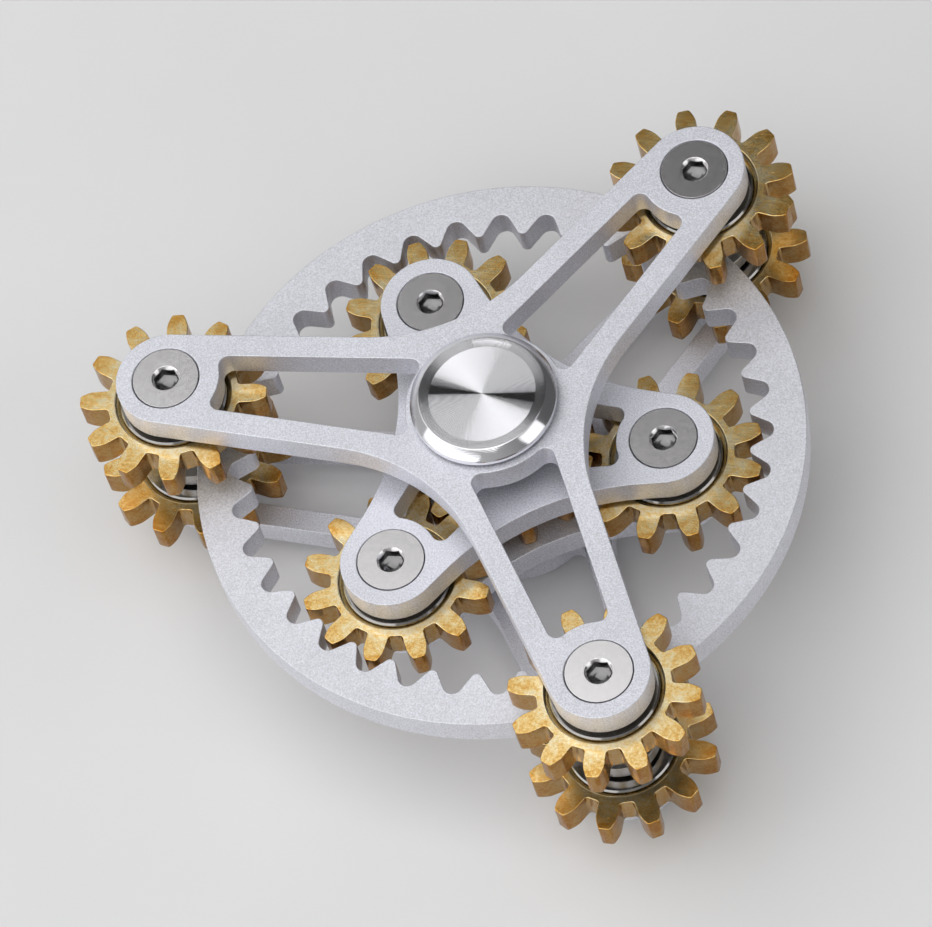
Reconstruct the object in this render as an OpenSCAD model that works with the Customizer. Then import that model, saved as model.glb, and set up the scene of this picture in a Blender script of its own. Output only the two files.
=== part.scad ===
// Planetary gear set built as a hand spinner.
// A ring gear runs on three planets and a sun. The planets sit in a short three-armed star,
// and a long three-armed star outside it carries six more gears, three above and three below.
// The main axis is Z, and the plane z = 0 halves the ring gear.

/* [Gears] */
// Module of every gear, pitch diameter over tooth count
gear_module = 1.3; // [1.3:0.05:1.6]
// Teeth on the sun, the planets and the outer gears, a multiple of three
gear_teeth = 12; // [12:3:18]
// Pressure angle of the gear teeth in degrees
pressure_angle = 20; // [18:1:24]
// Tooth height outside the pitch circle
gear_addendum = 0.93; // [0.8:0.01:1.0]
// Tooth depth inside the pitch circle
gear_dedendum = 1.7; // [1.6:0.05:1.75]
// Tooth width along the pitch circle, under half the tooth pitch
tooth_width = 1.85; // [1.6:0.05:1.9]
// Fillet at the foot of a gear tooth
tooth_foot_round = 0.35; // [0.2:0.05:0.4]
// Radius of the rounded corners at a gear tooth's tip
tooth_tip_round = 0.15; // [0.1:0.05:0.3]
// Thickness of every gear
gear_thickness = 3; // [2.4:0.1:4]
// Width of the chamfer round a gear's bore
bore_chamfer = 0.45; // [0.2:0.05:0.6]

/* [Ring gear] */
// Thickness of the ring gear
ring_thickness = 3; // [2:0.1:4]
// Solid rim outside the ring's tooth gaps
ring_rim = 3.05; // [2:0.05:6]
// Height of the ring's teeth inside the pitch circle
ring_addendum = 0.35; // [0.2:0.01:0.5]
// Depth of the ring's tooth gaps outside the pitch circle
ring_dedendum = 1.75; // [1.5:0.05:2]
// Radius of the ring's rounded tooth tips
ring_tip_round = 0.55; // [0.4:0.05:0.7]
// Radius of the ring's rounded gap bottoms
ring_gap_round = 0.9; // [0.7:0.05:1]

/* [Star plates] */
// Thickness of all four star plates
plate_thickness = 2.8; // [2:0.1:3.5]
// Radius of the round arm ends
arm_end_radius = 4.65; // [4.2:0.05:5.5]
// Width of the rails beside a window
rail_width = 2.2; // [1.6:0.1:2.6]
// Wall between a hub bearing and the windows
hub_wall = 2.3; // [1.5:0.1:2.6]
// Radius of the window corners
window_corner = 0.9; // [0.4:0.1:1.1]
// Flare of a long arm's sides towards the hub in degrees
long_flare = 3.85; // [3:0.05:4.5]
// Distance of the long star's edge from the axis midway between its arms
long_waist = 9.45; // [9:0.05:11]
// Wall between a long arm's nut head and its window
long_end_wall = 1.85; // [1:0.05:3]
// Flare of a short arm's sides towards the hub in degrees
short_flare = 7; // [5:0.5:9]
// Distance of the short star's edge from the axis midway between its arms
short_waist = 9.2; // [9:0.05:9.8]
// Wall between a short arm's nut head and its window
short_end_wall = 1.2; // [0.8:0.05:1.4]

/* [Bearings] */
// Bore of every ball bearing, which is also the size of the axle and the nut sleeves
bearing_bore = 4; // [3.8:0.1:4.4]
// Outside diameter of every ball bearing
bearing_od = 10; // [9.4:0.1:10.4]
// Width of every ball bearing
bearing_width = 3; // [3:0.1:4]
// Radial thickness of the bearing races
race_wall = 0.9; // [0.7:0.05:1]
// Diameter of the balls
ball_d = 1.6; // [1.5:0.05:1.7]
// Balls in one bearing
ball_count = 7; // [6:1:8]
// Chamfer on the outer edges of a bearing
race_chamfer = 0.15; // [0.05:0.05:0.3]
// Thickness of the shields in the outer race that cover the balls
shield_thickness = 0.2; // [0.1:0.05:0.2]
// Depth of the shields below the bearing's faces
shield_depth = 0.12; // [0.05:0.01:0.12]

/* [Posts and fasteners] */
// Diameter of the nut heads
nut_head_d = 6.1; // [5.4:0.1:6.6]
// Height of the nut heads
nut_head_h = 1; // [0.8:0.1:1.4]
// Hexagon socket across flats
socket_size = 2; // [1.5:0.1:2.5]
// Depth of the straight part of the hexagon socket
socket_depth = 1.2; // [0.8:0.1:1.4]
// Diameter of the round countersink at the socket's mouth
socket_mouth = 2.6; // [2.5:0.1:3.2]
// Diameter of the studs that join two nuts
stud_d = 3; // [2.4:0.1:3.2]
// Diameter of the washers beside the bearings
washer_d = 5.4; // [5:0.1:5.8]
// Thickness of the washers beside the planet and sun bearings
planet_washer = 0.4; // [0.3:0.05:0.8]
// Thickness of the washers between the outer gears and the long plates
outer_washer = 0.6; // [0.3:0.05:1.2]
// Diameter of the collars that keep the ring gear between the layers
keeper_d = 7.4; // [6:0.1:8]
// Thickness of those collars
keeper_thickness = 1.5; // [0.8:0.1:2.5]
// Height of the raised foot under each collar, which meets a bearing
keeper_foot = 0.4; // [0.3:0.05:0.8]

/* [Finger caps] */
// Diameter of a cap's flange
cap_d = 13.45; // [12:0.05:16]
// Height of the flange's straight edge
cap_edge = 0.6; // [0.3:0.05:1]
// Diameter of the raised rim round the finger pad
cap_rim_d = 11.7; // [11.2:0.05:11.9]
// Diameter of the flat finger pad
cap_pad_d = 9.8; // [8:0.05:10.2]
// Height of the rim above the flange's edge
cap_height = 0.8; // [0.7:0.05:1.5]
// Depth of the pad below the rim
cap_dish = 0.14; // [0.05:0.01:0.3]
// Flat width of the rim
cap_rim_flat = 0.4; // [0.2:0.05:0.45]
// Diameter of the cap's foot on the axle
cap_foot_d = 5.6; // [5:0.1:6]
// Height of the cap's foot
cap_foot = 0.18; // [0.15:0.01:0.5]
// Wall of the cap left above the axle's end
cap_roof = 0.6; // [0.4:0.05:0.8]

/* [Clearances] */
// Radial gap between balls and the grooves they run in
ball_gap = 0.05; // [0.03:0.01:0.1]
// Radial gap between a bearing's shields and its inner race
shield_gap = 0.15; // [0.1:0.05:0.3]
// Radial gap where a piece is pressed or threaded into another
seat_gap = 0.01; // [0.01:0.005:0.02]
// Gap round a nut head in its plate
head_gap = 0.1; // [0.05:0.05:0.2]
// Gap between the ring's rim and the studs of the long arms
ring_side_gap = 0.3; // [0.2:0.05:0.6]
// Gap between the ring's faces and the collars
ring_face_gap = 0.3; // [0.2:0.05:0.8]

/* [Position at rest] */
// Turn of the short star from midway between the long arms in degrees
short_star_turn = 2.8; // [-20:0.1:20]
// Turn of the ring gear in degrees
ring_turn = 0; // [-180:0.1:180]
// Turn of the three upper outer gears in degrees
upper_gear_turn = [19.2, 8.5, 2.5]; // [-180:0.1:180]
// Turn of the three lower outer gears in degrees
lower_gear_turn = [13, 17.5, -0.6]; // [-180:0.1:180]

/* [Hidden] */
$fn = 64;

// Colours
silver = "#c9cbd0";
steel = "#a9adb2";
dark_steel = "#80858b";
brass = "#d9a441";

// Tooth counts and pitch radii
arms = 3;
arm_step = 360 / arms;
ring_teeth = 3 * gear_teeth;
gear_pitch_r = gear_module * gear_teeth / 2;
gear_tip_r = gear_pitch_r + gear_addendum;
gear_root_r = gear_pitch_r - gear_dedendum;
gear_base_r = gear_pitch_r * cos(pressure_angle);
ring_pitch_r = gear_module * ring_teeth / 2;
ring_tip_r = ring_pitch_r - ring_addendum;
ring_root_r = ring_pitch_r + ring_dedendum;
ring_outer_r = ring_root_r + ring_rim;

// Distances of the posts from the axis
short_r = 2 * gear_pitch_r;
long_r = ring_outer_r + ring_side_gap + stud_d / 2;

// Heights above the middle plane
gear_half = max(gear_thickness, bearing_width) / 2;
short_plate_z = gear_half + planet_washer;
short_top_z = short_plate_z + plate_thickness;
short_bearing_z = short_plate_z + bearing_width / 2;
keeper_z = ring_thickness / 2 + ring_face_gap;
outer_gear_z = max(keeper_z + keeper_thickness + keeper_foot, gear_half + planet_washer) + gear_half;
long_plate_z = outer_gear_z + gear_half + outer_washer;
long_top_z = long_plate_z + plate_thickness;
long_bearing_z = long_plate_z + bearing_width / 2;
cap_z = max(long_bearing_z + bearing_width / 2, long_top_z);
cap_edge_z = cap_z + cap_foot;
cap_rim_z = cap_edge_z + cap_edge + cap_height;
cap_pad_z = cap_rim_z - cap_dish;
axle_top_z = cap_pad_z - cap_roof;

// Bearing radii
bore_r = bearing_bore / 2;
bearing_r = bearing_od / 2;
inner_race_r = bore_r + race_wall;
outer_race_r = bearing_r - race_wall;
ball_track_r = (inner_race_r + outer_race_r) / 2;

// Gap beside a ball cage and thickness of its web
cage_gap = 0.2;
cage_web = 0.25;

// Post details: the gap between two short nuts, the socket's pointed end, the wall under it
head_r = nut_head_d / 2;
long_nut_end_z = keeper_z;
nut_end_gap = 0.1;
short_nut_end_z = nut_end_gap / 2;
socket_cone = socket_size / 4;
stud_bore_wall = 0.6;
cut = 0.01;

// Swelling of an arc where it meets a straight side, so that the two cross
blend = 0.005;

// Angles of the arms, of the planets' teeth and of the sun's teeth
function long_angle(k) = arm_step / 2 + arm_step * (k - 1);
function short_angle(k) = short_star_turn + arm_step * (k - 1);
planet_mesh = (ring_turn - short_star_turn) * ring_teeth / gear_teeth;
sun_mesh = gear_teeth % 2 == 0 ? 180 / gear_teeth : 0;
sun_turn = short_star_turn - planet_mesh + sun_mesh;

// Points of an arc about a centre, from one angle to another
function on_circle(r, a) = r * [cos(a), sin(a)];
function arc(centre, r, from, to, steps) =
    [for (i = [0:steps]) centre + on_circle(r, from + (to - from) * i / steps)];
function turned(points, a) =
    [for (p = points) [p.x * cos(a) - p.y * sin(a), p.x * sin(a) + p.y * cos(a)]];
function flipped(points) =
    [for (i = [len(points) - 1:-1:0]) [points[i].x, -points[i].y]];
function around(points, copies) =
    [for (i = [0:copies - 1]) each turned(points, i * 360 / copies)];

// Outline of a spur gear with a tooth pointing along +X
function inv(a) = tan(a) * 180 / PI - a;
function tooth_half_angle(r) =
    tooth_width * 90 / (PI * gear_pitch_r) + inv(pressure_angle) - inv(acos(gear_base_r / r));
foot_half = gear_base_r * sin(tooth_half_angle(gear_base_r));
foot_x = sqrt(pow(gear_root_r + tooth_foot_round, 2) - pow(foot_half + tooth_foot_round, 2));
foot_centre = [foot_x, -foot_half - tooth_foot_round];
foot_from = 180 - atan2(foot_half + tooth_foot_round, foot_x);
foot_steps = 4;
flank_steps = 5;
corner_steps = 3;
corner_r = gear_tip_r - tooth_tip_round;
flank = [
    for (i = [0:flank_steps])
        let (r = gear_base_r + (corner_r - gear_base_r) * i / flank_steps)
            on_circle(r, -tooth_half_angle(r))
];
corner = [
    for (i = [1:corner_steps])
        let (a = 90 * i / corner_steps, r = corner_r + (tooth_tip_round + cut) * sin(a))
            on_circle(r, tooth_tip_round * (1 - cos(a)) * 180 / (PI * r) - tooth_half_angle(r))
];
tooth_side = concat(arc(foot_centre, tooth_foot_round, foot_from, 90, foot_steps), flank, corner);
tooth = concat(tooth_side, [[gear_tip_r + 2 * cut, 0]], flipped(tooth_side));

module gear_shape() {
    intersection() {
        polygon(around(tooth, gear_teeth));
        circle(r = gear_tip_r);
    }
    circle(r = gear_root_r + blend);
}

// Space inside the ring gear's teeth with a tooth gap along +X
// Each flank is a straight line from the round bottom of a gap to the round tip of a tooth
ring_half_pitch = 180 / ring_teeth;
ring_tip_centre = on_circle(ring_tip_r + ring_tip_round, ring_half_pitch);
ring_gap_centre = [ring_root_r - ring_gap_round, 0];
ring_between = ring_gap_centre - ring_tip_centre;
ring_lean = acos((ring_tip_round + ring_gap_round) / norm(ring_between));
ring_flank = atan2(ring_between.y, ring_between.x) - ring_lean;
ring_gap_half = [
    ring_gap_centre - on_circle(ring_gap_round, ring_flank),
    ring_tip_centre + on_circle(ring_tip_round, ring_flank)
];
ring_pitch_path = concat(flipped(ring_gap_half), [ring_gap_centre], ring_gap_half, [ring_tip_centre]);

module at_ring_teeth(place) {
    for (i = [1:ring_teeth]) rotate(i * 2 * ring_half_pitch) translate(place) children();
}

module ring_inside() {
    difference() {
        union() {
            polygon(around(ring_pitch_path, ring_teeth));
            at_ring_teeth(ring_gap_centre) circle(r = ring_gap_round + blend);
        }
        at_ring_teeth(ring_tip_centre) circle(r = ring_tip_round + blend);
    }
}

// Outline of a star plate with its first arm along +X
// Straight sides run from the round arm ends into the hollows between the arms
module star_shape(r, flare, waist) {
    reach = (waist - arm_end_radius - r * sin(flare)) / (1 - sin(arm_step / 2 + flare));
    out = [sin(flare), cos(flare)];
    middle = on_circle(reach, arm_step / 2);
    outer = [r, 0] + arm_end_radius * out;
    inner = middle - (reach - waist) * out;
    half = [outer, inner];
    difference() {
        polygon(around(concat(flipped(half), half, [middle]), arms));
        for (k = [0:arms - 1]) rotate(k * arm_step) translate(middle) circle(r = reach - waist + blend);
    }
    for (k = [0:arms - 1]) rotate(k * arm_step) translate([r, 0]) circle(r = arm_end_radius + blend);
}

// Outline of a window in an arm along +X, between the hub and the nut at the arm's end
module window_shape(r, flare, end_wall) {
    hub = bearing_r + hub_wall;
    end = head_r + head_gap + end_wall;
    side = arm_end_radius - rail_width - window_corner;
    along = [cos(flare), -sin(flare)];
    out = [sin(flare), cos(flare)];
    seat = [r, 0] + side * out;
    end_back = sqrt(pow(end + window_corner, 2) - side * side);
    seat_along = r * cos(flare);
    hub_back = seat_along - sqrt(pow(seat_along, 2) - seat * seat + pow(hub + window_corner, 2));
    end_corner = seat - end_back * along;
    hub_corner = seat - hub_back * along;
    half = [
        end_corner,
        end_corner + window_corner * out,
        hub_corner + window_corner * out,
        hub_corner
    ];
    difference() {
        polygon(concat([[r, 0]], half, [[0, 0]], flipped(half)));
        translate([r, 0]) circle(r = end);
        circle(r = hub);
    }
    for (p = concat([end_corner, hub_corner], flipped([end_corner, hub_corner])))
        translate(p) circle(r = window_corner + blend);
}

// A piece and its mirror image below the middle plane
module above_and_below() {
    children();
    mirror([0, 0, 1]) children();
}

// A piece on each arm of a star
module on_long_arms() {
    for (k = [1:arms]) rotate(long_angle(k)) translate([long_r, 0, 0]) children();
}

module on_short_arms() {
    for (k = [1:arms]) rotate(short_angle(k)) translate([short_r, 0, 0]) children();
}

// A plain ring standing on z = 0
module ring_band(outer, inner, height) {
    difference() {
        cylinder(r = outer, h = height);
        translate([0, 0, -cut]) cylinder(r = inner, h = height + 2 * cut);
    }
}

// The groove that the balls run in
module ball_track() {
    rotate_extrude() translate([ball_track_r, 0]) circle(r = ball_d / 2 + ball_gap);
}

// An outer race with a shield on each side that reaches almost to the inner race
module outer_race() {
    h = bearing_width / 2;
    c = race_chamfer;
    shield_out = h - shield_depth;
    shield_in = shield_out - shield_thickness;
    shield_r = inner_race_r + shield_gap;
    half = [
        [bearing_r, h - c],
        [bearing_r - c, h],
        [outer_race_r, h],
        [outer_race_r, shield_out],
        [shield_r, shield_out],
        [shield_r, shield_in],
        [outer_race_r, shield_in]
    ];
    color(steel) difference() {
        rotate_extrude() polygon(concat(half, flipped(half)));
        ball_track();
    }
}

module inner_race() {
    color(steel) difference() {
        translate([0, 0, -bearing_width / 2]) ring_band(inner_race_r, bore_r + seat_gap, bearing_width);
        ball_track();
    }
}

module at_balls() {
    for (i = [0:ball_count - 1]) rotate(i * 360 / ball_count) translate([ball_track_r, 0, 0]) children();
}

module balls() {
    color(dark_steel) at_balls() sphere(d = ball_d);
}

// A crown cage: a web above the balls and fingers between them
module ball_cage() {
    pocket_r = ball_d / 2 + ball_gap;
    below = ball_d / 4;
    height = below + pocket_r + cage_web;
    color(brass) difference() {
        translate([0, 0, -below]) ring_band(outer_race_r - cage_gap, inner_race_r + cage_gap, height);
        at_balls() sphere(r = pocket_r);
    }
}

// The gear that the sun, the planets and the outer gears share
module spur_gear() {
    h = gear_thickness / 2;
    r = bearing_r + seat_gap;
    color(brass) difference() {
        translate([0, 0, -h]) linear_extrude(gear_thickness) gear_shape();
        translate([0, 0, -h - cut]) cylinder(r = r, h = gear_thickness + 2 * cut);
        above_and_below()
            translate([0, 0, h - bore_chamfer])
                cylinder(r1 = r, r2 = r + bore_chamfer, h = bore_chamfer);
    }
}

// A star plate standing on z = 0, with seats for its nuts and its hub bearing
module star_plate(r, flare, waist, end_wall) {
    seat_z = plate_thickness - nut_head_h;
    through = plate_thickness + 2 * cut;
    color(silver) difference() {
        linear_extrude(plate_thickness) star_shape(r, flare, waist);
        translate([0, 0, -cut]) cylinder(r = bearing_r + seat_gap, h = through);
        for (k = [0:arms - 1]) rotate(k * arm_step) {
            translate([0, 0, -cut]) linear_extrude(through) window_shape(r, flare, end_wall);
            translate([r, 0, -cut]) cylinder(r = bore_r + seat_gap, h = through);
            translate([r, 0, seat_z]) cylinder(r = head_r + head_gap, h = nut_head_h + cut);
        }
    }
}

// A sleeve nut hanging from its head's top at z = 0 to its open end
module sleeve_nut(length) {
    mouth_h = (socket_mouth - socket_size) / 2;
    socket_end = socket_depth + socket_cone;
    bore_depth = length - socket_end - stud_bore_wall;
    color(steel) difference() {
        union() {
            translate([0, 0, -nut_head_h]) cylinder(r = head_r, h = nut_head_h);
            translate([0, 0, -length]) cylinder(r = bore_r, h = length - cut);
        }
        translate([0, 0, -socket_depth])
            cylinder(d = socket_size / cos(30), h = socket_depth + cut, $fn = 6);
        translate([0, 0, -socket_end]) cylinder(d1 = 0, d2 = socket_size, h = socket_cone + cut);
        translate([0, 0, -mouth_h]) cylinder(d1 = socket_size, d2 = socket_mouth, h = mouth_h + cut);
        translate([0, 0, -length - cut]) cylinder(r = stud_d / 2 + seat_gap, h = bore_depth + cut);
    }
}

long_nut_length = long_top_z - long_nut_end_z;
short_nut_length = short_top_z - short_nut_end_z;

// A stud as long as the bores of the two nuts it joins
module stud(nut_top_z) {
    bore_top = nut_top_z - socket_depth - socket_cone - stud_bore_wall - seat_gap;
    color(dark_steel) translate([0, 0, -bore_top]) cylinder(d = stud_d, h = 2 * bore_top);
}

module axle() {
    color(steel) translate([0, 0, -axle_top_z]) cylinder(r = bore_r, h = 2 * axle_top_z);
}

module finger_cap() {
    bore = bore_r + seat_gap;
    color(silver) rotate_extrude() polygon([
        [bore, cap_z],
        [cap_foot_d / 2, cap_z],
        [cap_foot_d / 2, cap_edge_z],
        [cap_d / 2, cap_edge_z],
        [cap_d / 2, cap_edge_z + cap_edge],
        [cap_rim_d / 2, cap_rim_z],
        [cap_rim_d / 2 - cap_rim_flat, cap_rim_z],
        [cap_pad_d / 2, cap_pad_z],
        [0, cap_pad_z],
        [0, axle_top_z + seat_gap],
        [bore, axle_top_z + seat_gap]
    ]);
}

module upper_finger_cap() { finger_cap(); }

module lower_finger_cap() { mirror([0, 0, 1]) finger_cap(); }

// Spacers between the inner races on the axle
module axle_spacers() {
    sun_top = bearing_width / 2;
    short_top = short_bearing_z + bearing_width / 2;
    color(steel) above_and_below() {
        translate([0, 0, sun_top]) ring_band(inner_race_r, bore_r + seat_gap, short_plate_z - sun_top);
        translate([0, 0, short_top]) ring_band(inner_race_r, bore_r + seat_gap, long_plate_z - short_top);
    }
}

// Places of the five bearings on the axle
module on_axle() {
    children();
    above_and_below() {
        translate([0, 0, short_bearing_z]) children();
        translate([0, 0, long_bearing_z]) children();
    }
}

module axle_inner_races() { on_axle() inner_race(); }

module axle_bearing_balls() { on_axle() balls(); }

module axle_ball_cages() { on_axle() ball_cage(); }

module upper_long_plate() {
    rotate(long_angle(1)) translate([0, 0, long_plate_z])
        star_plate(long_r, long_flare, long_waist, long_end_wall);
}

module lower_long_plate() { mirror([0, 0, 1]) upper_long_plate(); }

module upper_long_nuts() { on_long_arms() translate([0, 0, long_top_z]) sleeve_nut(long_nut_length); }

module lower_long_nuts() { mirror([0, 0, 1]) upper_long_nuts(); }

module long_studs() { on_long_arms() stud(long_top_z); }

// Collars on the long posts, each with a foot that meets an outer gear's bearing
module ring_keepers() {
    bearing_z = outer_gear_z - bearing_width / 2;
    color(steel) on_long_arms() above_and_below() {
        difference() {
            union() {
                translate([0, 0, keeper_z]) cylinder(d = keeper_d, h = keeper_thickness);
                translate([0, 0, keeper_z]) cylinder(d = washer_d, h = bearing_z - keeper_z);
            }
            translate([0, 0, keeper_z - cut])
                cylinder(r = bore_r + seat_gap, h = bearing_z - keeper_z + 2 * cut);
        }
    }
}

module long_washers() {
    bearing_top = outer_gear_z + bearing_width / 2;
    color(dark_steel) on_long_arms() above_and_below()
        translate([0, 0, bearing_top])
            ring_band(washer_d / 2, bore_r + seat_gap, long_plate_z - bearing_top);
}

module long_hub_outer_races() { above_and_below() translate([0, 0, long_bearing_z]) outer_race(); }

module at_outer_gears() { on_long_arms() above_and_below() translate([0, 0, outer_gear_z]) children(); }

module outer_gear_inner_races() { at_outer_gears() inner_race(); }

module outer_gear_balls() { at_outer_gears() balls(); }

module outer_gear_ball_cages() { at_outer_gears() ball_cage(); }

module upper_short_plate() {
    rotate(short_angle(1)) translate([0, 0, short_plate_z])
        star_plate(short_r, short_flare, short_waist, short_end_wall);
}

module lower_short_plate() { mirror([0, 0, 1]) upper_short_plate(); }

module upper_short_nuts() { on_short_arms() translate([0, 0, short_top_z]) sleeve_nut(short_nut_length); }

module lower_short_nuts() { mirror([0, 0, 1]) upper_short_nuts(); }

module short_studs() { on_short_arms() stud(short_top_z); }

module short_washers() {
    bearing_top = bearing_width / 2;
    color(dark_steel) on_short_arms() above_and_below()
        translate([0, 0, bearing_top])
            ring_band(washer_d / 2, bore_r + seat_gap, short_plate_z - bearing_top);
}

module short_hub_outer_races() { above_and_below() translate([0, 0, short_bearing_z]) outer_race(); }

module planet_inner_races() { on_short_arms() inner_race(); }

module planet_balls() { on_short_arms() balls(); }

module planet_ball_cages() { on_short_arms() ball_cage(); }

module ring_gear() {
    h = ring_thickness / 2;
    color(silver) rotate(ring_turn) difference() {
        translate([0, 0, -h]) cylinder(r = ring_outer_r, h = ring_thickness);
        translate([0, 0, -h - cut]) linear_extrude(ring_thickness + 2 * cut) ring_inside();
    }
}

module sun_gear() { rotate(sun_turn) spur_gear(); }

module sun_outer_race() { outer_race(); }

module at_planet(k) { rotate(short_angle(k)) translate([short_r, 0, 0]) rotate(planet_mesh) children(); }

module planet_gear(k) { at_planet(k) spur_gear(); }

module planet_outer_race(k) { at_planet(k) outer_race(); }

// Place of an outer gear, side 1 above and side -1 below
module at_outer_gear(k, side, turn) {
    translate([0, 0, side * outer_gear_z])
        translate(on_circle(long_r, long_angle(k)))
            rotate(turn) children();
}

module upper_outer_gear(k) { at_outer_gear(k, 1, upper_gear_turn[k - 1]) spur_gear(); }

module upper_outer_race(k) { at_outer_gear(k, 1, upper_gear_turn[k - 1]) outer_race(); }

module lower_outer_gear(k) { at_outer_gear(k, -1, lower_gear_turn[k - 1]) spur_gear(); }

module lower_outer_race(k) { at_outer_gear(k, -1, lower_gear_turn[k - 1]) outer_race(); }

axle();
upper_finger_cap();
lower_finger_cap();
axle_spacers();
axle_inner_races();
axle_bearing_balls();
axle_ball_cages();
upper_long_plate();
lower_long_plate();
upper_long_nuts();
lower_long_nuts();
long_studs();
ring_keepers();
long_washers();
long_hub_outer_races();
outer_gear_inner_races();
outer_gear_balls();
outer_gear_ball_cages();
upper_short_plate();
lower_short_plate();
upper_short_nuts();
lower_short_nuts();
short_studs();
short_washers();
short_hub_outer_races();
planet_inner_races();
planet_balls();
planet_ball_cages();
ring_gear();
sun_gear();
sun_outer_race();
for (k = [1:3]) {
    planet_gear(k);
    planet_outer_race(k);
    upper_outer_gear(k);
    upper_outer_race(k);
    lower_outer_gear(k);
    lower_outer_race(k);
}
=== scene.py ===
import math

import bpy
from mathutils import Matrix, Vector


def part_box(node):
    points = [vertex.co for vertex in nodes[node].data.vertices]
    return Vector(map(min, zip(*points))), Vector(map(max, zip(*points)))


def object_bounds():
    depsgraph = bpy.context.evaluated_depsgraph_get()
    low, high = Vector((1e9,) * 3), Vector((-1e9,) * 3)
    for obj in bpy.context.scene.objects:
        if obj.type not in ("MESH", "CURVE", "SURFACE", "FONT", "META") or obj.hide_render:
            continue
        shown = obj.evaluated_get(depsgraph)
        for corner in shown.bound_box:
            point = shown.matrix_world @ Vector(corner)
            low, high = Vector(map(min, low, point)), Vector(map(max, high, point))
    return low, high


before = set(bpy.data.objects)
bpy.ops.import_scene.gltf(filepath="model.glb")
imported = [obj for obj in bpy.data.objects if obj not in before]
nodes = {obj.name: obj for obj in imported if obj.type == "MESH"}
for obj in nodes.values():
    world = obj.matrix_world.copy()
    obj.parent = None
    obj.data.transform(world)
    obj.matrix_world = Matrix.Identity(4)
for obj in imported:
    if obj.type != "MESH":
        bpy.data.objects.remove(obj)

cad_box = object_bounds()
scene = bpy.context.scene
scene.view_settings.view_transform = "Standard"

MM = 0.001

# Rounded edges of the visible pieces
PLATE_EDGE = 0.09 * MM
GEAR_EDGE = 0.06 * MM
FINE_EDGE = 0.05 * MM
BEVEL_ANGLE = math.radians(32)
BEVEL_SEGMENTS = 2
WELD_DISTANCE = 0.0005 * MM
FLAT_ANGLE = math.radians(0.2)

# Where the finish changes on the gears and the cap, and how deep the painted shade in the nut sockets
# reaches
TOOTH_ROOT_RADIUS = 5.4 * MM
TOOTH_TIP_RADIUS = 8.7 * MM
PAD_RADIUS = 4.86 * MM
PAD_FADE = 0.06 * MM
GROOVE_WIDTH = 0.05 * MM
# Painted shade in the nut sockets: darkest from this depth below the outer face, none above the start
SOCKET_SHADE_DEPTH = 0.6 * MM
SOCKET_SHADE_START = 0.05 * MM
BRUSH_TURN_PER_LETTER = 37


def rgb(r, g, b):
    return (r, g, b, 1)


# Node building

class Nodes:
    """A node tree, with short calls for the nodes that the materials and the studio use."""

    def __init__(self, tree):
        self.tree = tree

    def node(self, kind):
        return self.tree.nodes.new("ShaderNode" + kind)

    def put(self, socket, value):
        if isinstance(value, bpy.types.NodeSocket):
            self.tree.links.new(value, socket)
        else:
            socket.default_value = value

    def math(self, operation, a, b=0.0):
        node = self.node("Math")
        node.operation = operation
        self.put(node.inputs[0], a)
        self.put(node.inputs[1], b)
        return node.outputs["Value"]

    def add(self, a, b):
        return self.math("ADD", a, b)

    def multiply(self, a, b):
        return self.math("MULTIPLY", a, b)

    def span(self, value, low, high, to_low, to_high, interpolation="LINEAR"):
        node = self.node("MapRange")
        node.interpolation_type = interpolation
        for socket, v in zip(list(node.inputs)[:5], (value, low, high, to_low, to_high)):
            self.put(socket, v)
        return node.outputs["Result"]

    def vector(self, operation, a, b=None, scale=None):
        node = self.node("VectorMath")
        node.operation = operation
        self.put(node.inputs[0], a)
        if b is not None:
            self.put(node.inputs[1], b)
        if scale is not None:
            self.put(node.inputs["Scale"], scale)
        return node.outputs["Value" if operation == "DOT_PRODUCT" else "Vector"]


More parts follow.
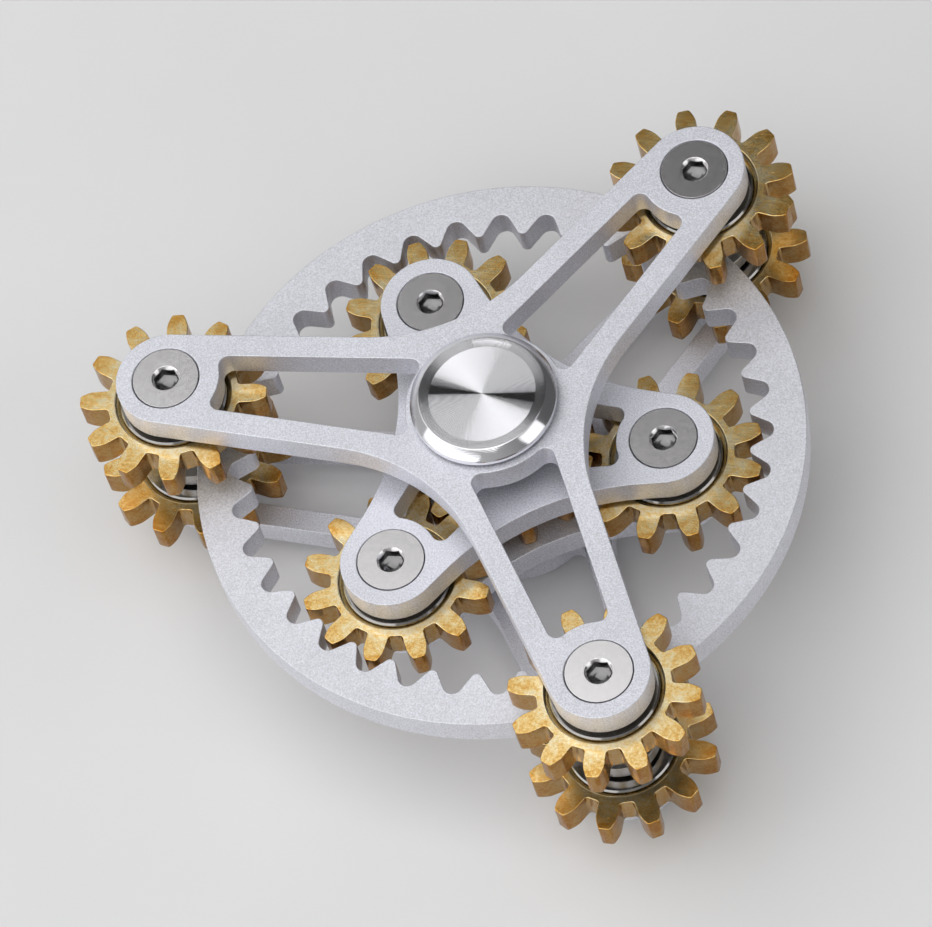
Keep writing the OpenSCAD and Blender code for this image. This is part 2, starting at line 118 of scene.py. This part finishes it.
class Shader(Nodes):
    """One procedural material."""

    SOCKETS = {
        "color": "Base Color",
        "metallic": "Metallic",
        "roughness": "Roughness",
        "normal": "Normal",
    }
    # Places of the colour sockets among those of a mix node
    MIX_A, MIX_B, MIX_RESULT = 6, 7, 2

    def __init__(self, name):
        self.material = bpy.data.materials.new(name)
        self.material.use_nodes = True
        super().__init__(self.material.node_tree)
        self.tree.nodes.clear()
        output = self.node("OutputMaterial")
        self.surface = self.node("BsdfPrincipled")
        self.tree.links.new(self.surface.outputs["BSDF"], output.inputs["Surface"])
        coordinates = self.node("TexCoord")
        self.place = coordinates.outputs["Object"]
        self.facing = coordinates.outputs["Normal"]

    def set(self, **values):
        for key, value in values.items():
            self.put(self.surface.inputs[self.SOCKETS[key]], value)

    def mapped(self, scale=(1, 1, 1), location=(0, 0, 0), turn=0):
        node = self.node("Mapping")
        self.put(node.inputs["Vector"], self.place)
        node.inputs["Location"].default_value = location
        node.inputs["Rotation"].default_value = (0, 0, turn)
        node.inputs["Scale"].default_value = scale
        return node.outputs["Vector"]

    def noise(self, scale, detail=2.0, rough=0.5, vector=None, distortion=0.0):
        node = self.node("TexNoise")
        self.put(node.inputs["Vector"], vector or self.place)
        node.inputs["Scale"].default_value = scale
        node.inputs["Detail"].default_value = detail
        node.inputs["Roughness"].default_value = rough
        node.inputs["Distortion"].default_value = distortion
        return node.outputs["Fac"]

    def lines(self, distance, spacing, detail=2.0):
        """Noise along one distance only, such as turning marks along a radius."""
        node = self.node("TexNoise")
        node.noise_dimensions = "1D"
        self.put(node.inputs["W"], distance)
        node.inputs["Scale"].default_value = 1 / spacing
        node.inputs["Detail"].default_value = detail
        return node.outputs["Fac"]

    def ramp(self, fac, *stops):
        node = self.node("ValToRGB")
        self.put(node.inputs["Fac"], fac)
        while len(node.color_ramp.elements) < len(stops):
            node.color_ramp.elements.new(0.5)
        for element, (position, value) in zip(node.color_ramp.elements, stops):
            element.position = position
            element.color = value if isinstance(value, tuple) else rgb(value, value, value)
        return node.outputs["Color"]

    def mix(self, fac, a, b, blend="MIX"):
        node = self.node("Mix")
        node.data_type = "RGBA"
        node.blend_type = blend
        self.put(node.inputs["Factor"], fac)
        self.put(node.inputs[self.MIX_A], a)
        self.put(node.inputs[self.MIX_B], b)
        return node.outputs[self.MIX_RESULT]

    def darken(self, color, shade):
        return self.mix(1.0, color, shade, blend="MULTIPLY")

    def bump(self, height, strength, distance, normal=None):
        node = self.node("Bump")
        self.put(node.inputs["Height"], height)
        node.inputs["Strength"].default_value = strength
        node.inputs["Distance"].default_value = distance
        if normal:
            self.put(node.inputs["Normal"], normal)
        return node.outputs["Normal"]

    def axes(self, vector):
        node = self.node("SeparateXYZ")
        self.put(node.inputs["Vector"], vector)
        return node.outputs["X"], node.outputs["Y"], node.outputs["Z"]

    def radius(self, vector):
        """The distance from the Z axis."""
        x, y, _ = self.axes(vector)
        return self.math("SQRT", self.add(self.multiply(x, x), self.multiply(y, y)))

    def to_world(self, vector):
        node = self.node("VectorTransform")
        node.vector_type = "VECTOR"
        node.convert_from = "OBJECT"
        node.convert_to = "WORLD"
        self.put(node.inputs["Vector"], vector)
        return node.outputs["Vector"]

    def surface_normal(self):
        return self.node("NewGeometry").outputs["Normal"]


# Finishes

def blasted(name, dark, light, rough):
    """Bead-blasted metal: a fine even grain that glints, and a faint cloudy tone."""
    s = Shader(name)
    grain = s.noise(scale=7000, detail=2, rough=0.7)
    cloud = s.noise(scale=160, detail=3)
    tone = s.add(s.multiply(grain, 0.85), s.multiply(cloud, 0.15))
    s.set(color=s.ramp(tone, (0.36, dark), (0.64, light)), metallic=1.0)
    s.set(roughness=s.span(grain, low=0.3, high=0.7, to_low=rough - 0.06, to_high=rough + 0.06))
    s.set(normal=s.bump(grain, strength=0.5, distance=0.02 * MM))
    return s.material


def brass(name, centre, turn):
    """Satin brass with a mottled orange patina, denser towards the tooth tips, and painted shade darkening
    the flanks.
    """
    s = Shader(name)
    local = s.mapped(location=tuple(-c for c in centre))
    blotch = s.noise(scale=800, detail=4, rough=0.6, vector=local, distortion=0.6)
    speck = s.noise(scale=3800, detail=3, rough=0.6, vector=local)
    brush = s.noise(scale=1, detail=2, rough=0.6, vector=s.mapped((500, 9000, 500), turn=turn))
    mottle = s.add(s.multiply(blotch, 0.5), s.multiply(speck, 0.5))
    tips = s.span(s.radius(local), TOOTH_ROOT_RADIUS, TOOTH_TIP_RADIUS, to_low=0.0, to_high=0.17)
    gold = s.ramp(
        s.add(mottle, tips),
        (0.46, rgb(0.97, 0.83, 0.52)),
        (0.60, rgb(0.93, 0.65, 0.25)),
        (0.75, rgb(0.74, 0.38, 0.07)),
    )
    streak = s.ramp(brush, (0.3, 0.93), (0.7, 1.0))
    # Painted shade: the upright flanks are darkened in colour as if they mirrored dark surroundings, and the
    # top faces keep their colour
    upright = s.math("ABSOLUTE", s.axes(s.facing)[2])
    face = s.span(upright, low=0.2, high=0.6, to_low=0.0, to_high=1.0)
    painted_flank_shade = s.ramp(face, (0.0, rgb(0.46, 0.37, 0.27)), (1.0, 1.0))
    s.set(color=s.darken(s.darken(gold, streak), painted_flank_shade), metallic=1.0)
    wear = s.add(speck, s.multiply(brush, 0.6))
    s.set(roughness=s.span(wear, low=0.5, high=1.1, to_low=0.18, to_high=0.28))
    pits = s.bump(speck, strength=0.05, distance=0.03 * MM)
    s.set(normal=s.bump(brush, strength=0.04, distance=0.01 * MM, normal=pits))
    return s.material


def turned_cap(name):
    """Turned steel: round grooves tilt the normal along the radius, most of all on the finger pad."""
    s = Shader(name)
    radius = s.radius(s.place)
    pad = s.span(radius, PAD_RADIUS, PAD_RADIUS + PAD_FADE, to_low=1.0, to_high=0.0)
    groove = s.math("DIVIDE", s.math("PINGPONG", radius, GROOVE_WIDTH), GROOVE_WIDTH)
    spread = s.span(pad, low=0.0, high=1.0, to_low=0.16, to_high=0.5)
    slope = s.multiply(s.math("SUBTRACT", groove, 0.5), spread)
    outwards = s.vector("NORMALIZE", s.vector("MULTIPLY", s.place, (1, 1, 0)))
    tilt = s.to_world(s.vector("SCALE", outwards, scale=slope))
    s.set(normal=s.vector("NORMALIZE", s.vector("ADD", s.surface_normal(), tilt)))
    marks = s.multiply(s.lines(radius, spacing=0.06 * MM), 0.25)
    s.set(color=s.mix(marks, rgb(0.86, 0.86, 0.89), rgb(0.70, 0.70, 0.73)), metallic=1.0)
    s.set(roughness=s.span(pad, low=0.0, high=1.0, to_low=0.10, to_high=0.05))
    return s.material


def steel(name, dark, light, rough, relief=0.06, cloudy=0.5, face_z=None):
    """Satin or polished steel with a fine grain and soft clouds, with painted shade darkening it below an
    outer face at face_z.
    """
    s = Shader(name)
    grain = s.noise(scale=2500, detail=3, rough=0.6)
    smear = s.noise(scale=420, detail=3, distortion=0.4)
    tone = s.add(s.multiply(grain, 1 - cloudy), s.multiply(smear, cloudy))
    color = s.ramp(tone, (0.35, dark), (0.65, light))
    # Painted shade: the recess below the outer face at face_z, a nut's socket, is darkened in colour
    if face_z:
        height = s.math("ABSOLUTE", s.axes(s.place)[2])
        deep, shallow = face_z - SOCKET_SHADE_DEPTH, face_z - SOCKET_SHADE_START
        above_socket_shade = s.span(height, deep, shallow, to_low=0.0, to_high=1.0)
        color = s.darken(color, s.ramp(above_socket_shade, (0.0, 0.26), (1.0, 1.0)))
    s.set(color=color, metallic=1.0)
    smoothest, roughest = rough * (1 - 0.4 * cloudy), rough * (1 + 0.5 * cloudy)
    s.set(roughness=s.span(tone, low=0.3, high=0.7, to_low=smoothest, to_high=roughest))
    s.set(normal=s.bump(grain, strength=relief, distance=0.01 * MM))
    return s.material


# Rounded edges, by modifiers only

def clean_normals_group():
    """Drops the stored normals and sharp marks, so that the bevels shade smoothly."""
    group = bpy.data.node_groups.new("clean_normals", "GeometryNodeTree")
    group.interface.new_socket("Geometry", in_out="INPUT", socket_type="NodeSocketGeometry")
    group.interface.new_socket("Geometry", in_out="OUTPUT", socket_type="NodeSocketGeometry")
    start = group.nodes.new("NodeGroupInput").outputs[0]
    for attribute in ("custom_normal", "sharp_edge", "sharp_face"):
        remove = group.nodes.new("GeometryNodeRemoveAttribute")
        remove.inputs["Name"].default_value = attribute
        group.links.new(start, remove.inputs["Geometry"])
        start = remove.outputs["Geometry"]
    group.links.new(start, group.nodes.new("NodeGroupOutput").inputs[0])
    return group


CLEAN_NORMALS = clean_normals_group()


def round_edges(obj, width):
    """Small rounded edges and smooth shading."""
    weld = obj.modifiers.new("weld", "WELD")
    weld.merge_threshold = WELD_DISTANCE
    clean = obj.modifiers.new("clean", "NODES")
    clean.node_group = CLEAN_NORMALS
    flat = obj.modifiers.new("flat", "DECIMATE")
    flat.decimate_type = "DISSOLVE"
    flat.angle_limit = FLAT_ANGLE
    bevel = obj.modifiers.new("edge", "BEVEL")
    bevel.width = width
    bevel.segments = BEVEL_SEGMENTS
    bevel.limit_method = "ANGLE"
    bevel.angle_limit = BEVEL_ANGLE
    bevel.use_clamp_overlap = True
    bevel.harden_normals = False
    bevel.miter_outer = "MITER_ARC"
    weighted = obj.modifiers.new("shade", "WEIGHTED_NORMAL")
    weighted.mode = "FACE_AREA"
    weighted.keep_sharp = False


def dress(name, material, edge=None):
    obj = nodes[name]
    obj.data.materials.clear()
    obj.data.materials.append(material)
    if edge:
        round_edges(obj, edge)


def gear_brass(name):
    low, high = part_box(name)
    brush_turn = math.radians(BRUSH_TURN_PER_LETTER * len(name) % 180)
    return brass("brass_" + name, (low + high) / 2, brush_turn)


def nut_steel(name):
    face_z = max(abs(corner.z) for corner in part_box(name))
    dark, light = rgb(0.80, 0.785, 0.79), rgb(0.86, 0.84, 0.85)
    return steel("satin_" + name, dark, light, rough=0.20, relief=0.01, cloudy=0.12, face_z=face_z)


plate_metal = blasted("blasted_aluminium", rgb(0.64, 0.645, 0.69), rgb(0.91, 0.915, 0.98), rough=0.60)
ring_metal = blasted("blasted_ring", rgb(0.64, 0.645, 0.68), rgb(0.91, 0.915, 0.97), rough=0.60)
cap_metal = turned_cap("turned_cap")
# The race steel is painted darker: partly dull ground steel, partly painted shade of the narrow gap under
# the plates
shaded_race_metal = steel("ground_race_painted_shade", rgb(0.32, 0.31, 0.30), rgb(0.43, 0.42, 0.41), rough=0.12)
ball_metal = steel("polished_ball", rgb(0.70, 0.70, 0.71), rgb(0.80, 0.80, 0.81), rough=0.07, relief=0.02)
cage_metal = steel("pressed_cage", rgb(0.50, 0.38, 0.18), rgb(0.66, 0.52, 0.28), rough=0.34)
plain_metal = steel("turned_steel", rgb(0.46, 0.46, 0.47), rgb(0.62, 0.62, 0.63), rough=0.30)

for name in nodes:
    if "ball_cages" in name:
        dress(name, cage_metal)
    elif "balls" in name:
        dress(name, ball_metal)
    elif "race" in name:
        dress(name, shaded_race_metal)
    elif "plate" in name:
        dress(name, plate_metal, PLATE_EDGE)
    elif "cap" in name:
        dress(name, cap_metal, FINE_EDGE)
    elif name == "ring_gear":
        dress(name, ring_metal, PLATE_EDGE)
    elif "gear" in name:
        dress(name, gear_brass(name), GEAR_EDGE)
    elif "nuts" in name:
        dress(name, nut_steel(name), FINE_EDGE)
    else:
        dress(name, plain_metal, FINE_EDGE)


# Floor, a hair below the lower cap

FLOOR_GAP = 0.02 * MM
FLOOR_SIZE = 6

floor_z = cad_box[0].z - FLOOR_GAP
bpy.ops.mesh.primitive_plane_add(size=FLOOR_SIZE, location=(0, 0, floor_z))
floor = bpy.context.object
floor.name = "floor"
paper = Shader("floor_paper")
cloud = paper.noise(scale=30, detail=4)
paper.set(color=paper.ramp(cloud, (0.3, rgb(0.78, 0.78, 0.785)), (0.7, rgb(0.81, 0.81, 0.815))))
paper.set(roughness=0.7)
floor.data.materials.append(paper.material)


# Studio: brighter in front on the left, and dark where the cap's face mirrors the viewer

FRONT_LEFT = Vector((-1, -1, 0)).normalized()
MIRRORED_VIEWER = Vector((-0.2, 0.5, 0.84)).normalized()

world = bpy.data.worlds.new("studio")
world.use_nodes = True
scene.world = world
studio = Nodes(world.node_tree)
direction = studio.node("TexCoord").outputs["Generated"]


def studio_ramp(axis, low, high, to_low, to_high):
    """A smooth change of the studio's brightness along an axis."""
    along = studio.vector("DOT_PRODUCT", direction, axis)
    return studio.span(along, low, high, to_low, to_high, interpolation="SMOOTHSTEP")


side_to_side = studio_ramp(FRONT_LEFT, low=-0.9, high=0.9, to_low=0.10, to_high=0.45)
dark_patch = studio_ramp(MIRRORED_VIEWER, low=0.80, high=0.94, to_low=1.0, to_high=0.1)
background = world.node_tree.nodes["Background"]
background.inputs["Color"].default_value = rgb(1.0, 1.0, 1.0)
studio.put(background.inputs["Strength"], studio.multiply(side_to_side, dark_patch))


# Softboxes: two level panels with a narrow dark gap between them, which the cap shows as its dark wedge

MIRROR_POINT = Vector((-0.200, 0.414, 0.75))
PANEL_TURN = math.radians(-13)
PANEL_RADIANCE = 1.35
OVERHEAD_WIDTH, OVERHEAD_DEPTH, OVERHEAD_SHIFT, OVERHEAD_GAP = 1.40, 0.98, -0.02, 0.047
REAR_WIDTH, REAR_DEPTH, REAR_SHIFT, REAR_GAP = 0.80, 0.46, -0.50, 0.056

FRONT_LIGHT_PLACE, FRONT_LIGHT_SIZE, FRONT_RADIANCE = (-0.62, -0.70, 0.40), (1.4, 0.6), 0.9
RIGHT_LIGHT_PLACE, RIGHT_LIGHT_SIZE, RIGHT_RADIANCE = (0.84, -0.22, 0.50), (0.5, 0.6), 1.1


def softbox(name, place, rotation, width, depth, radiance):
    light = bpy.data.lights.new(name, "AREA")
    light.shape = "RECTANGLE"
    light.size = width
    light.size_y = depth
    light.energy = radiance * math.pi * width * depth
    obj = bpy.data.objects.new(name, light)
    obj.location = place
    obj.rotation_euler = rotation
    obj.visible_camera = False
    scene.collection.objects.link(obj)


def towards_part(place):
    return (-Vector(place)).to_track_quat("-Z", "Y").to_euler()


level = (0, 0, PANEL_TURN)
across = Vector((math.cos(PANEL_TURN), math.sin(PANEL_TURN), 0))
behind = Vector((-math.sin(PANEL_TURN), math.cos(PANEL_TURN), 0))
overhead_place = MIRROR_POINT + OVERHEAD_SHIFT * across - (OVERHEAD_GAP + OVERHEAD_DEPTH / 2) * behind
rear_place = MIRROR_POINT + REAR_SHIFT * across + (REAR_GAP + REAR_DEPTH / 2) * behind

softbox("overhead", overhead_place, level, OVERHEAD_WIDTH, OVERHEAD_DEPTH, PANEL_RADIANCE)
softbox("rear_left", rear_place, level, REAR_WIDTH, REAR_DEPTH, PANEL_RADIANCE)
softbox("front_left", FRONT_LIGHT_PLACE, towards_part(FRONT_LIGHT_PLACE), *FRONT_LIGHT_SIZE, FRONT_RADIANCE)
softbox("right_strip", RIGHT_LIGHT_PLACE, towards_part(RIGHT_LIGHT_PLACE), *RIGHT_LIGHT_SIZE, RIGHT_RADIANCE)


# The photograph's view: azimuth and elevation, and a roll about the line of sight

VIEW_AZIMUTH = math.radians(26.36)
VIEW_ELEVATION = math.radians(58.99)
VIEW_ROLL = math.radians(18.5)
VIEW_DISTANCE = 607.17 * MM
VIEW_AIM = Vector((-3.28, -0.93, 0)) * MM
SENSOR_WIDTH = 36
LENS = 256.2
NEAR_LIMIT = 0.01

camera_data = bpy.data.cameras.new("camera")
camera_data.sensor_fit = "HORIZONTAL"
camera_data.sensor_width = SENSOR_WIDTH
camera_data.lens = LENS
camera_data.clip_start = NEAR_LIMIT
camera = bpy.data.objects.new("camera", camera_data)
camera.matrix_world = (
    Matrix.Translation(VIEW_AIM)
    @ Matrix.Rotation(VIEW_AZIMUTH, 4, "Z")
    @ Matrix.Rotation(math.pi / 2 - VIEW_ELEVATION, 4, "X")
    @ Matrix.Translation((0, 0, VIEW_DISTANCE))
    @ Matrix.Rotation(-VIEW_ROLL, 4, "Z")
)
scene.collection.objects.link(camera)
scene.camera = camera
